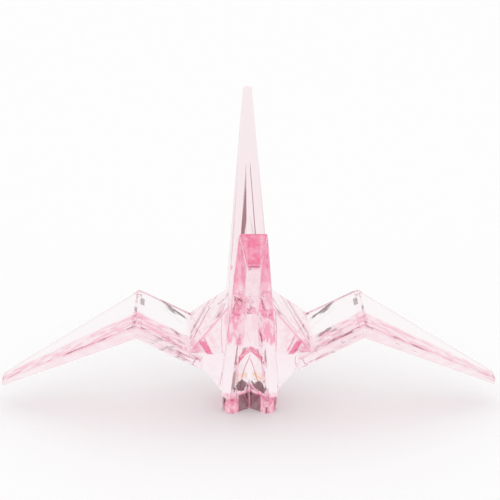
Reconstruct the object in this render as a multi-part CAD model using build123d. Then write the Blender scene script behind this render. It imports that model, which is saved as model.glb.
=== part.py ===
from build123d import *

import os
from math import cos, radians, sin, tan

# A crane folded from paper, pressed as one solid piece of pale pink crystal glass.
# Millimetres, +Z up. The crane faces -Y, its wings reach along X, and the origin is at the
# centre of the flat foot that it stands on. Reach is how far in front of that centre a point is.

# Foot, a block with two lobes in front and two behind, with the grooves of neck and tail between
foot_half_width = 8.3
foot_half_length = 8.7
foot_height = 5.8
foot_corner_radius = 3.5
full_width_height = 15.0

# Neck, in side view: its front leans forward, its back line less so, and the tail's do the same
neck_lean = 26.0
neck_fold_height = 68.8
neck_convergence = 14.0
neck_fold_depth = 8.5
neck_half_width_at_fold = 3.9
crown_slope = 24.0

# Head, bent forward and down from the fold, with a steep underside down to the chin
beak_length = 9.4
beak_drop = 44.0
beak_tip_depth = 2.2
beak_tip_half_width = 2.0
chin_height = 46.0
chin_half_width = 2.1

# Tail, which mirrors the neck and ends in a blunt tip
tail_height = 86.6
tail_tip_depth = 2.8
tail_tip_half_width = 1.4

# Body, widest where the wings leave it, with a hipped hump between neck and tail
root_height = 23.4
root_half_span = 18.1
root_half_chord = 16.0
body_half_length_at_foot = 5.0
hump_height = 40.8
hump_ridge_half_length = 3.0

# Wings, which rise to a knee and droop from it
wing_half_span = 75.0
root_thickness = 3.9
knee_half_span = 33.6
knee_height = 31.2
knee_half_chord = 15.8
knee_thickness = 3.6
tip_height = 8.9
tip_half_chord = 3.2
tip_thickness = 1.9
keel_depth = 1.6

# How deep the pieces of the one solid run into each other: wing into body, body and blades
# into foot, and each blade past the centre
wing_buried_in_body = 4.0
sunk_in_foot = 3.5
past_centre = 2.0

# Groove down the front of the neck, with a flat floor and a V in that floor up to the chest
neck_groove_top = 45.0
neck_groove_depth = 1.7
neck_groove_top_mouth = 2.5
neck_groove_top_floor = 1.0
neck_groove_foot_mouth = 4.8
neck_groove_foot_floor = 3.7
notch_half_width = 3.5
notch_depth = 3.0
notch_full_height = 21.0
notch_top = 26.0

# Groove down the back of the tail, which gets wider and deeper towards the foot
tail_groove_top = 70.5
tail_groove_top_mouth = 1.3
tail_groove_top_depth = 0.7
tail_groove_foot_mouth = 5.2
tail_groove_foot_depth = 4.6
tail_groove_floor = 0.6

# Rounding of the fire-polished edges
edge_round = 0.6


def pair(reach, height, half_width):
    """Left and right end of a level line across the crane."""
    return [(-half_width, -reach, height), (half_width, -reach, height)]


def rectangle(half_x, half_y, height):
    return [(sx * half_x, sy * half_y, height) for sx in (-1, 1) for sy in (-1, 1)]


def polished(shape):
    return fillet(shape.edges(), edge_round)


def leaning_reach(height):
    """Reach of the neck's front face at this height. The tail's back face reaches as far behind."""
    return foot_half_length + max(0, height - foot_height) * tan(radians(neck_lean))


def leaning_blade(outline, top_half_width, top_height):
    """A blade with this side outline, as wide as the foot low down, its sides closing in above."""
    taper = (foot_half_width - top_half_width) / (top_height - full_width_height)
    return ConvexPolyhedron(
        [corner for reach, height in outline
         for corner in pair(reach, height, foot_half_width - taper * max(0, height - full_width_height))])


def neck():
    """The neck, up to the fold where the head starts and the sloping crown behind it."""
    lean = radians(neck_lean)
    back_slope = tan(radians(90 - neck_lean - neck_convergence))
    bottom = foot_height - sunk_in_foot
    front_foot = foot_half_length - sunk_in_foot * tan(lean)
    front = (leaning_reach(neck_fold_height), neck_fold_height)
    crease = radians(crown_slope)
    crease_length = neck_fold_depth / sin(radians(90 - neck_lean) - crease)
    crown = (front[0] - crease_length * cos(crease), front[1] - crease_length * sin(crease))
    back = (-past_centre, crown[1] - (crown[0] + past_centre) * back_slope)
    full_width = (front_foot + (full_width_height - bottom) * tan(lean), full_width_height)
    return leaning_blade([(front_foot, bottom), full_width, front, crown, back,
                          (-past_centre, full_width_height), (-past_centre, bottom)],
                         neck_half_width_at_fold, neck_fold_height)


def beak(fold):
    """The head, with flat cheeks, from the fold line down to the tip and back under to the chin."""
    drop = radians(beak_drop)
    tip = (fold[0] + beak_length * cos(drop), fold[1] - beak_length * sin(drop))
    under = (tip[0] - beak_tip_depth * sin(drop), tip[1] - beak_tip_depth * cos(drop))
    chin = (leaning_reach(chin_height), chin_height)
    # Flat cheeks give the width under the tip: it follows from the fold, the tip and the chin
    to_tip, to_chin = [(point[0] - fold[0], point[1] - fold[1]) for point in (tip, chin)]
    at_tip, at_chin = beak_tip_half_width - neck_half_width_at_fold, chin_half_width - neck_half_width_at_fold
    spread = to_tip[0] * to_chin[1] - to_chin[0] * to_tip[1]
    forwards = (at_tip * to_chin[1] - at_chin * to_tip[1]) / spread
    upwards = (at_chin * to_tip[0] - at_tip * to_chin[0]) / spread
    under_half_width = (neck_half_width_at_fold + forwards * (under[0] - fold[0])
                        + upwards * (under[1] - fold[1]))
    inside_neck = (0, (neck_fold_depth - fold[0] - chin[0]) / 2, (fold[1] + chin[1]) / 2)
    return ConvexPolyhedron(pair(*fold, neck_half_width_at_fold) + pair(*chin, chin_half_width)
                            + pair(*tip, beak_tip_half_width) + pair(*under, under_half_width)
                            + [inside_neck])


def neck_and_head():
    """Neck and head, polished as one, so that the fold between them is rounded too."""
    fold = (leaning_reach(neck_fold_height), neck_fold_height)
    return polished(neck() + beak(fold))


def tail():
    """The tail, whose back line leans as the neck's front does."""
    lean = radians(neck_lean)
    front_slope = tan(radians(90 - neck_lean - neck_convergence))
    bottom = foot_height - sunk_in_foot
    back_foot = -foot_half_length + sunk_in_foot * tan(lean)
    back = (-leaning_reach(tail_height), tail_height)
    front = (back[0] + tail_tip_depth * cos(lean), back[1] + tail_tip_depth * sin(lean))
    inside = (past_centre, front[1] + (front[0] - past_centre) * front_slope)
    full_width = (-leaning_reach(full_width_height), full_width_height)
    return polished(leaning_blade([(back_foot, bottom), full_width, back, front, inside,
                                   (past_centre, full_width_height), (past_centre, bottom)],
                                  tail_tip_half_width, tail_height))


def body():
    """Four slopes that close in on the foot and run on into it, under a hipped hump."""
    below = (root_height - foot_height + sunk_in_foot) / (root_height - foot_height)
    sunk_half_width = root_half_span - below * (root_half_span - foot_half_width)
    sunk_half_length = root_half_chord - below * (root_half_chord - body_half_length_at_foot)
    return polished(ConvexPolyhedron(
        rectangle(sunk_half_width, sunk_half_length, foot_height - sunk_in_foot)
        + rectangle(root_half_span, root_half_chord, root_height)
        + [(0, -hump_ridge_half_length, hump_height), (0, hump_ridge_half_length, hump_height)]))


def foot():
    block = extrude(Rectangle(2 * foot_half_width, 2 * foot_half_length), foot_height)
    block = fillet(block.edges().filter_by(Axis.Z), foot_corner_radius)
    return fillet(block.edges().group_by(Axis.Z)[0], edge_round)


def groove(top, at_top, at_foot):
    """Cutter for a groove with a flat floor, from under the foot up the leaning face.
    Each end is the half width of its mouth, that of its floor, and its depth."""
    proud = 1.0

    def station(height, mouth, floor, depth):
        reach = leaning_reach(height)
        return (pair(reach + proud, height, mouth + proud * (mouth - floor) / depth)
                + pair(reach - depth, height, floor))

    at_crease = station(foot_height, *at_foot)
    return (ConvexPolyhedron(station(-proud, *at_foot) + at_crease)
            + ConvexPolyhedron(at_crease + station(top, *at_top)))


def chest_notch():
    """Cutter for the V in the floor of the front groove, which runs out in a point at its top."""
    proud = 0.5
    grown = (notch_depth + proud) / notch_depth

    def station(height):
        floor = leaning_reach(height) - neck_groove_depth
        return pair(floor + proud, height, notch_half_width * grown) + [(0, notch_depth - floor, height)]

    point_height = notch_full_height + (notch_top - notch_full_height) * grown
    point = (0, neck_groove_depth - proud - leaning_reach(point_height), point_height)
    return (ConvexPolyhedron(station(-proud) + station(foot_height))
            + ConvexPolyhedron(station(foot_height) + station(notch_full_height) + [point]))


def wing_section(x, height, half_chord, edge, keel_y, keel, rear_extra=0.0):
    """Five corners of a section across the wing: flat on top, with a keel underneath."""
    return [(x, -half_chord, height), (x, half_chord, height), (x, -half_chord, height - edge),
            (x, half_chord, height - edge - rear_extra), (x, keel_y, height - edge - keel)]


def wing():
    """Right wing. Its keel runs from the middle of the knee to the rear corner of the tip."""
    rise = (knee_height - root_height) / (knee_half_span - root_half_span)
    keel_slope = keel_depth / knee_half_chord
    tip_keel = keel_slope * 2 * tip_half_chord
    root = wing_section(root_half_span - wing_buried_in_body, root_height - rise * wing_buried_in_body,
                        root_half_chord, root_thickness, 0, keel_slope * root_half_chord)
    knee = wing_section(knee_half_span, knee_height, knee_half_chord, knee_thickness, 0, keel_depth)
    tip = wing_section(wing_half_span, tip_height, tip_half_chord, tip_thickness, tip_half_chord,
                       tip_keel, tip_keel)
    blade = ConvexPolyhedron(root + knee) + ConvexPolyhedron(knee + tip)
    at_knee = blade.edges().filter_by_position(Axis.X, knee_half_span - 1, knee_half_span + 1)
    return fillet(blade.edges() - at_knee.filter_by(Axis.Z), edge_round)


front_groove = groove(neck_groove_top, (neck_groove_top_mouth, neck_groove_top_floor, neck_groove_depth),
                      (neck_groove_foot_mouth, neck_groove_foot_floor, neck_groove_depth))
back_groove = groove(tail_groove_top, (tail_groove_top_mouth, tail_groove_floor, tail_groove_top_depth),
                     (tail_groove_foot_mouth, tail_groove_floor, tail_groove_foot_depth)).mirror(Plane.XZ)
right_wing = wing()
crane = body() + neck_and_head() + tail() + foot() - front_groove - chest_notch() - back_groove
crane = crane + right_wing + right_wing.mirror(Plane.YZ)
os.makedirs("parts", exist_ok=True)
export_step(crane, "parts/crane.step")
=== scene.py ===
import math

import bmesh
import bpy
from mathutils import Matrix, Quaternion, Vector


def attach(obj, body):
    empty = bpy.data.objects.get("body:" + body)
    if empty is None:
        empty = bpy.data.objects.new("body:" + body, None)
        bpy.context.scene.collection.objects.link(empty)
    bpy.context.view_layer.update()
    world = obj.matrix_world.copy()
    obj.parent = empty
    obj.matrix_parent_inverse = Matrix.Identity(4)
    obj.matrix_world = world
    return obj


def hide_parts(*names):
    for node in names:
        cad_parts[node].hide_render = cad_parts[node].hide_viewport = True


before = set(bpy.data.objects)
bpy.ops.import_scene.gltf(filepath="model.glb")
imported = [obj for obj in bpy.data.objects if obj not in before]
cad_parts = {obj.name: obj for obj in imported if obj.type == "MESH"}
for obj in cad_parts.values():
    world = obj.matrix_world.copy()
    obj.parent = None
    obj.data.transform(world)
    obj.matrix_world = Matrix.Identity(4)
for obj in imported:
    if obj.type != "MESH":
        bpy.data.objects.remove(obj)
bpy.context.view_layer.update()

# The crane is one piece of clear pink crystal, pressed in a mould and fire-polished.
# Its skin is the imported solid's, merged into whole facets so that the glass bends light
# cleanly, and it stands on the flat foot under its body.
mm = 0.001
flat_within, sharp_from = math.radians(0.3), math.radians(32)
skin_mesh = bpy.data.meshes.new("crane_glass")
facets = bmesh.new()
facets.from_mesh(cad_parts["crane"].data)
bmesh.ops.remove_doubles(facets, verts=facets.verts, dist=0.01 * mm)
bmesh.ops.dissolve_limit(facets, verts=facets.verts, edges=facets.edges, angle_limit=flat_within)

# Neck and tail lean out from the foot's top edges. The groove down the back of the tail runs out
# gently, before it reaches the solid's end of it.
foot_half_length, foot_height = 8.7, 5.8
lean = math.tan(math.radians(26))
solid_groove_end, groove_end, groove_floor_half_width = 70.5, 64.5, 0.6
for corner in facets.verts:
    at_solid_end = abs(corner.co.z - solid_groove_end * mm) < 0.1 * mm
    if at_solid_end and abs(corner.co.x) < 2 * mm and corner.co.y > 30 * mm:
        back_reach = foot_half_length + (groove_end - foot_height) * lean
        corner.co = (math.copysign(groove_floor_half_width * mm, corner.co.x),
                     back_reach * mm, groove_end * mm)
bmesh.ops.remove_doubles(facets, verts=facets.verts, dist=0.01 * mm)
for face in facets.faces:
    face.smooth = True
for edge in facets.edges:
    edge.smooth = edge.calc_face_angle(0) < sharp_from
facets.to_mesh(skin_mesh)
facets.free()
if "custom_normal" in skin_mesh.attributes:
    skin_mesh.attributes.remove(skin_mesh.attributes["custom_normal"])
crane = bpy.data.objects.new("crane_glass", skin_mesh)
bpy.context.scene.collection.objects.link(crane)

glass = bpy.data.materials.new("pink_crystal")
glass.use_nodes = True
nodes, links = glass.node_tree.nodes, glass.node_tree.links
skin = nodes["Principled BSDF"]
skin.inputs["Base Color"].default_value = (1, 1, 1, 1)
skin.inputs["Roughness"].default_value = 0.0
skin.inputs["IOR"].default_value = 1.52
skin.inputs["Transmission Weight"].default_value = 1.0

# Dye in the melt: the glass is deeper pink wherever light crosses more of it
melt = nodes.new("ShaderNodeVolumeAbsorption")
melt.inputs["Color"].default_value = (0.975, 0.40, 0.62, 1)
melt.inputs["Density"].default_value = 6.0
links.new(melt.outputs[0], nodes["Material Output"].inputs["Volume"])


def eased(value, start, end, low=0.0, high=1.0):
    """Eases from low to high while value goes from start to end."""
    band = nodes.new("ShaderNodeMapRange")
    band.interpolation_type = "SMOOTHSTEP"
    for name, number in zip(("From Min", "From Max", "To Min", "To Max"), (start, end, low, high)):
        band.inputs[name].default_value = number
    links.new(value, band.inputs["Value"])
    return band.outputs[0]


def combined(operation, first, second):
    """One value out of two, by a sum, a product and so on. Either may be a plain number."""
    step = nodes.new("ShaderNodeMath")
    step.operation = operation
    for socket, value in zip(step.inputs, (first, second)):
        if isinstance(value, (int, float)):
            socket.default_value = value
        else:
            links.new(value, socket)
    return step.outputs[0]


def sloping(value, other, slope, offset=0.0):
    """value + slope * other + offset, which is the same all along a sloping line."""
    return combined("ADD", combined("ADD", value, offset), combined("MULTIPLY", other, slope))


def size_of(value):
    """The value without its sign: how far a point is from a line, on either side of it."""
    return combined("ABSOLUTE", value, 0.0)


# Places on the crane are in millimetres, as in the solid's own sizes: depth grows towards the
# tail, and across is the distance from the middle, the same to the left and to the right
place = nodes.new("ShaderNodeTexCoord")
in_mm = nodes.new("ShaderNodeMapping")
in_mm.inputs["Scale"].default_value = (1 / mm, 1 / mm, 1 / mm)
split = nodes.new("ShaderNodeSeparateXYZ")
links.new(place.outputs["Object"], in_mm.inputs["Vector"])
links.new(in_mm.outputs["Vector"], split.inputs[0])
across, depth, height = size_of(split.outputs["X"]), split.outputs["Y"], split.outputs["Z"]
front_or_back = size_of(depth)

# These are 0 on the leaning front of the neck and on the leaning back of the tail
foot_reach = foot_half_length - foot_height * lean
off_neck_front = sloping(depth, height, lean, foot_reach)
behind_tail = sloping(depth, height, -lean, -foot_reach)


def cloudy(stretch, scale, start=0.35, end=0.65):
    """A noise from 0 to 1, drawn out along the axes with a small stretch. It is crisp where
    start and end are close."""
    drawn_out = nodes.new("ShaderNodeMapping")
    drawn_out.inputs["Scale"].default_value = stretch
    links.new(place.outputs["Object"], drawn_out.inputs["Vector"])
    noise = nodes.new("ShaderNodeTexNoise")
    noise.inputs["Scale"].default_value = scale
    noise.inputs["Detail"].default_value = 2.0
    links.new(drawn_out.outputs["Vector"], noise.inputs["Vector"])
    return eased(noise.outputs[0], start, end)


def mottled(streaks, low, high):
    """Streaks or clouds, from low where they are thinnest to high where they are deepest."""
    return eased(streaks, 0.0, 1.0, low, high)


# The dye has run into streaks along the neck and the wings, and into small clouds elsewhere
clouds = cloudy((1, 1, 1), 620.0)
neck_streaks = cloudy((1, 0.5, 0.12), 900.0)
wing_streaks = cloudy((0.1, 1, 1), 520.0)


def product(*masks):
    """1 only where every mask is 1, and 0 where any of them is 0."""
    result = masks[0]
    for mask in masks[1:]:
        result = combined("MULTIPLY", result, mask)
    return result


def greatest(*masks):
    """The highest of the masks at each point."""
    result = masks[0]
    for mask in masks[1:]:
        result = combined("MAXIMUM", result, mask)
    return result


# Neck, head and foot are deep pink. The neck's dye ends in ragged streaks above the chest, and
# the neck is as deep as the head on both sides of the beak.
ragged_height = sloping(height, neck_streaks, 2.2)
in_neck = product(eased(depth, -4, -14), eased(ragged_height, 28.0, 30.5), eased(height, 42, 36, 0.5, 0.8),
                  eased(across, 8.5, 7.0), eased(across, 1.8, 3.0, 0.25, 1.0),
                  mottled(neck_streaks, 0.45, 1.5))
in_head = product(eased(depth, -26, -34), eased(height, 58, 62, 0.0, 0.95),
                  eased(across, 1.5, 1.9, 1.0, 0.45), mottled(clouds, 0.85, 1.5))
beside_beak = product(eased(size_of(off_neck_front), 1.0, 0.6), eased(height, 47, 53, 0.0, 0.95),
                      mottled(neck_streaks, 0.8, 1.2))
in_foot = product(eased(height, 6.5, 5.5, 0.0, 0.85), mottled(clouds, 0.45, 1.15))

# Each wing is deeper along its front edge, but not in the rim of that edge
knee_half_span, knee_half_chord = 33.6, 15.8
tip_half_span, tip_half_chord = 75.0, 3.2
edge_sweep = (knee_half_chord - tip_half_chord) / (tip_half_span - knee_half_span)
from_middle_line = sloping(depth, across, -0.111)
beyond_knee = combined("MAXIMUM", combined("SUBTRACT", across, knee_half_span), 0.0)
from_front_edge = sloping(depth, beyond_knee, -edge_sweep, knee_half_chord)
in_wing = product(eased(from_middle_line, -5.0, -8.5), eased(across, 18, 22),
                  eased(from_front_edge, 0.1, 1.0, 0.3, 1.0), eased(across, 32, 36, 0.7, 0.65),
                  mottled(wing_streaks, 0.4, 1.3))

# The body is clouded, with deep lines along the sloping edges of its hump
root_half_span, root_half_chord, ridge_half_length = 18.1, 16.0, 3.0
hip_slope = (root_half_chord - ridge_half_length) / root_half_span
on_body = product(eased(height, 22, 25), eased(across, 20, 18), eased(front_or_back, 17.5, 16.0))
in_hump = product(on_body, eased(across, 7, 13, 0.1, 0.5), mottled(clouds, 0.3, 1.1))
from_hip = size_of(sloping(front_or_back, across, -hip_slope, -ridge_half_length))
on_hip = product(on_body, eased(from_hip, 0.7, 0.3, 0.0, 0.8))

# The tail is faintly pink, with deeper walls in the groove down its back
in_tail = product(eased(depth, 10, 14, 0.0, 0.10), eased(height, 30, 40))
in_groove = product(eased(behind_tail, -0.1, -0.3, 0.0, 0.7), eased(behind_tail, -4.5, -4.0),
                    eased(across, groove_floor_half_width, 0.8), eased(across, 3.2, 2.8),
                    eased(height, 30, 40), eased(height, 66, 62), eased(depth, 10, 12))

# Deeper still are a chevron on the chest, where the notch runs out, and a short line where each
# wing leaves the body
above_chevron = sloping(height, across, 1.05)
chevron = product(eased(above_chevron, 22.2, 22.8), eased(above_chevron, 26.0, 25.4),
                  eased(across, 3.8, 3.4), eased(depth, -7, -9), mottled(clouds, 0.7, 1.0))
from_fold = size_of(sloping(across, height, -0.76, 5.4))
on_fold = product(eased(from_fold, 1.2, 0.7, 0.0, 0.95), eased(height, 22.2, 23.0),
                  eased(height, 26.8, 25.8), eased(depth, -11.5, -12.5))

# Low on each side of the notch there is a painted dark reflection, a blot, with a painted amber gleam
# above it, also a painted reflection
in_front = eased(depth, -2, -3)
blot_across, blot_height, gleam_height = 2.6, 8.7, 12.8


def spread(value, middle, reach):
    """0 at the middle of a blot and 1 at its edge."""
    return combined("POWER", combined("MULTIPLY", combined("SUBTRACT", value, middle), 1 / reach), 2.0)


to_side = spread(across, blot_across, 2.3)
blot_edge = combined("ADD", combined("ADD", to_side, spread(height, blot_height, 2.4)), clouds)
painted_dark_blot = product(eased(blot_edge, 1.6, 1.1), eased(height, 6.4, 6.8), in_front)
gleam_edge = combined("ADD", to_side, spread(height, gleam_height, 2.2))
painted_gleam = product(eased(gleam_edge, 1.0, 0.4), in_front, mottled(clouds, 0.3, 1.0))

# More painted dark reflections: the notch in the foot and the foot's outer corners, a thin band and flecks
# on the top of each wing next to the body, and two short marks at each knee
notch_painted_dark = product(eased(across, 3.6, 3.2), eased(across, 0.0, 0.3, 0.3, 1.0),
                   eased(height, 5.6, 5.2), in_front)
foot_corner_painted_dark = product(eased(across, 7.1, 7.7, 0.0, 0.75), eased(height, 6.0, 5.4), eased(depth, -4, -5))
from_band = size_of(sloping(depth, across, -0.66, 3.3))
wing_band_painted_dark = product(eased(sloping(from_band, clouds, 0.5), 1.3, 1.0), eased(across, 18.5, 20.0),
                    eased(across, 27.5, 25.0), eased(height, 21.5, 22.5))
painted_dark_flecks = product(cloudy((0.5, 1, 1), 500.0, 0.54, 0.60), eased(from_middle_line, -10.5, -12.0, 0.0, 0.5),
                 eased(across, 18, 20), eased(across, 30, 26))
knee_front_painted_dark = product(eased(size_of(combined("SUBTRACT", across, 35.2)), 1.6, 1.0, 0.0, 0.8),
                        eased(from_middle_line, -16.5, -17.0), eased(from_middle_line, -18.2, -17.7),
                        eased(height, 29.0, 29.5))
knee_top_painted_dark = product(eased(size_of(combined("SUBTRACT", across, 32.4)), 0.7, 0.5, 0.0, 0.85),
                      eased(depth, 3.5, 4.3), eased(depth, 9.8, 9.0), eased(height, 28.5, 29.0))


def dye_or_light_layer(under, colour, mask):
    """The colour under it, turned to this colour as far as the mask goes."""
    layer = nodes.new("ShaderNodeMix")
    layer.data_type = "RGBA"
    for name, value in (("A", under), ("B", colour)):
        if isinstance(value, tuple):
            layer.inputs[name].default_value = value
        else:
            links.new(value, layer.inputs[name])
    links.new(mask, layer.inputs["Factor"])
    return layer.outputs["Result"]


clear = (1, 1, 1, 1)
pink = dye_or_light_layer(clear, (0.92, 0.24, 0.40, 1),
            greatest(in_tail, in_neck, in_head, beside_beak, in_foot, in_wing, in_hump, on_hip, in_groove))
ruby = dye_or_light_layer(pink, (0.80, 0.05, 0.18, 1), greatest(chevron, on_fold))
# The amber layer is a painted gleam, a painted reflection.
amber_painted_gleam = dye_or_light_layer(ruby, (0.93, 0.60, 0.32, 1), painted_gleam)
# The near-black layer is painted dark reflections of the dark room, laid over the dye.
painted_dark_reflections = dye_or_light_layer(amber_painted_gleam, (0.09, 0.042, 0.05, 1),
             greatest(notch_painted_dark, painted_dark_blot, foot_corner_painted_dark, wing_band_painted_dark, painted_dark_flecks, knee_front_painted_dark, knee_top_painted_dark))
links.new(painted_dark_reflections, skin.inputs["Base Color"])

# Fire-polished faces are never quite flat, so their reflections waver, but less in the thin tail
waves = nodes.new("ShaderNodeTexNoise")
waves.inputs["Scale"].default_value = 70.0
waves.inputs["Detail"].default_value = 2.5
ripple = nodes.new("ShaderNodeBump")
ripple.inputs["Strength"].default_value = 1.0
ripple.inputs["Distance"].default_value = 0.18 * mm
links.new(place.outputs["Object"], waves.inputs["Vector"])
calmer_tail = eased(depth, 5, 12, 1.0, 0.15)
links.new(product(waves.outputs[0], calmer_tail), ripple.inputs["Height"])
links.new(ripple.outputs[0], skin.inputs["Normal"])


def finish_surface(usual, other, choice):
    """The material shows the usual shader, and the other one where choice is 1."""
    either = nodes.new("ShaderNodeMixShader")
    for value, socket in zip((choice, usual.outputs[0], other.outputs[0]), either.inputs):
        links.new(value, socket)
    links.new(either.outputs[0], nodes["Material Output"].inputs["Surface"])


# Light passes on to the table, so the glass throws a pale pink shadow and not a black one
let_through = nodes.new("ShaderNodeBsdfTransparent")
let_through.inputs["Color"].default_value = (1.0, 0.98, 0.986, 1)
finish_surface(skin, let_through, nodes.new("ShaderNodeLightPath").outputs["Is Shadow Ray"])
crane.data.materials.clear()
crane.data.materials.append(glass)
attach(crane, "root")
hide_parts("crane")

# The table is a plain white sheet, which catches the crane's soft shadow. The glass shows it as
# creamy white, and as darker towards the camera.
half_side, just_under_foot = 2.0, -0.1 * mm
creamy_white = (0.965, 0.94, 0.945, 1)
table_mesh = bpy.data.meshes.new("table")
table_mesh.from_pydata([(x * half_side, y * half_side, just_under_foot)
                        for x, y in ((-1, -1), (1, -1), (1, 1), (-1, 1))], [], [(0, 1, 2, 3)])
table = bpy.data.objects.new("table", table_mesh)
bpy.context.scene.collection.objects.link(table)
sheet = bpy.data.materials.new("white_sheet")
sheet.use_nodes = True
nodes, links = sheet.node_tree.nodes, sheet.node_tree.links
paper = nodes["Principled BSDF"]
paper.inputs["Base Color"].default_value = (0.99, 0.99, 0.99, 1)
paper.inputs["Roughness"].default_value = 0.9
paper.inputs["Specular IOR Level"].default_value = 0.2
spot = nodes.new("ShaderNodeNewGeometry")
split = nodes.new("ShaderNodeSeparateXYZ")
links.new(spot.outputs["Position"], split.inputs[0])
lit_sheet = nodes.new("ShaderNodeEmission")
lit_sheet.inputs["Color"].default_value = creamy_white
links.new(eased(split.outputs["Y"], -0.5, -0.05, 0.05, 1.0), lit_sheet.inputs["Strength"])


def seen_in_glass():
    """1 for what shows in or through the glass, and 0 for everything else."""
    ray = nodes.new("ShaderNodeLightPath")
    return greatest(ray.outputs["Is Glossy Ray"], ray.outputs["Is Transmission Ray"])


finish_surface(paper, lit_sheet, seen_in_glass())
table.data.materials.append(sheet)

# A white cloth tent lights everything softly. The glass shows it as creamy white, and as open on
# the camera's side, with a dark, reddish room beyond. The camera itself sees plain white.
tent = bpy.data.worlds.new("light_tent")
bpy.context.scene.world = tent
tent.use_nodes = True
nodes, links = tent.node_tree.nodes, tent.node_tree.links
facing = nodes.new("ShaderNodeTexCoord")
split = nodes.new("ShaderNodeSeparateXYZ")
links.new(facing.outputs["Generated"], split.inputs[0])
walls = eased(sloping(split.outputs["Y"], split.outputs["X"], 0.1), -0.15, -0.05)
roof = eased(split.outputs["Z"], 0.3, 0.6)
dark_room = (0.36, 0.19, 0.195, 1)
room = dye_or_light_layer(dark_room, creamy_white, greatest(walls, roof))
links.new(dye_or_light_layer((1, 1, 1, 1), room, seen_in_glass()), nodes["Background"].inputs["Color"])
nodes["Background"].inputs["Strength"].default_value = 1.0

# The camera looks a little down on the crane's head, from just left of its middle, with a long
# lens and a very slight tilt.
aim, distance = Vector((0.0, 0.0, 0.0497)), 0.575
azimuth, elevation = math.radians(-1.4), math.radians(20.0)
tilt = Quaternion((0, 0, 1), math.radians(0.4))
towards = Vector((math.sin(azimuth) * math.cos(elevation),
                  -math.cos(azimuth) * math.cos(elevation), math.sin(elevation)))
lens = bpy.data.cameras.new("camera")
lens.lens = 139.0
lens.sensor_width = 36.0
camera = bpy.data.objects.new("camera", lens)
bpy.context.scene.collection.objects.link(camera)
camera.location = aim + distance * towards
camera.rotation_euler = ((-towards).to_track_quat("-Z", "Y") @ tilt).to_euler()
bpy.context.scene.camera = camera

# Light crosses many faces inside the crystal before it leaves it
bounces = 32
bpy.context.scene.cycles.max_bounces = bounces
bpy.context.scene.cycles.glossy_bounces = bounces
bpy.context.scene.cycles.transmission_bounces = bounces
bpy.context.scene.view_settings.view_transform = "Standard"
